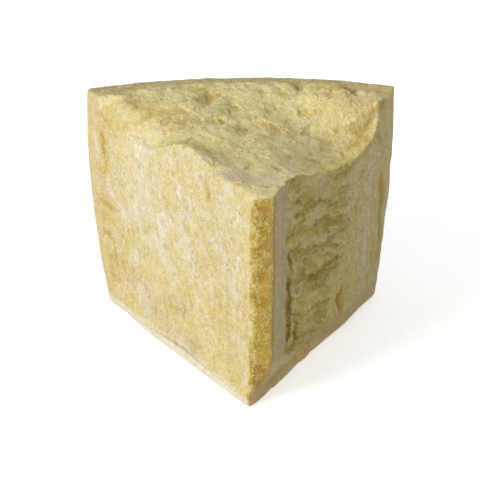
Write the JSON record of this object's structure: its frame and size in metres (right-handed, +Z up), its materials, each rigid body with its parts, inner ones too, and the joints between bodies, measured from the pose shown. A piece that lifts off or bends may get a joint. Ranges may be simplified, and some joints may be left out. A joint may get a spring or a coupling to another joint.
{
  "type": "parmigiano reggiano",
  "caption": "Wedge of hard aged grating cheese with rind on its curved back and underside, a rough split top, one clean cut side and one broken side.",
  "frame": {"origin": "middle of the wedge's box, at the flat underside that it rests on", "axes": "+Z up, -Y towards the tip, +Y towards the curved rind, +X towards the broken side"},
  "size_m": [0.1802, 0.195, 0.1304],
  "materials": {
    "paste_and_rind": "matte and granular, pale straw yellow, browner at the rind"
  },
  "bodies": {
    "root": {"cheese_wedge": "paste_and_rind"}
  },
  "joints": []
}
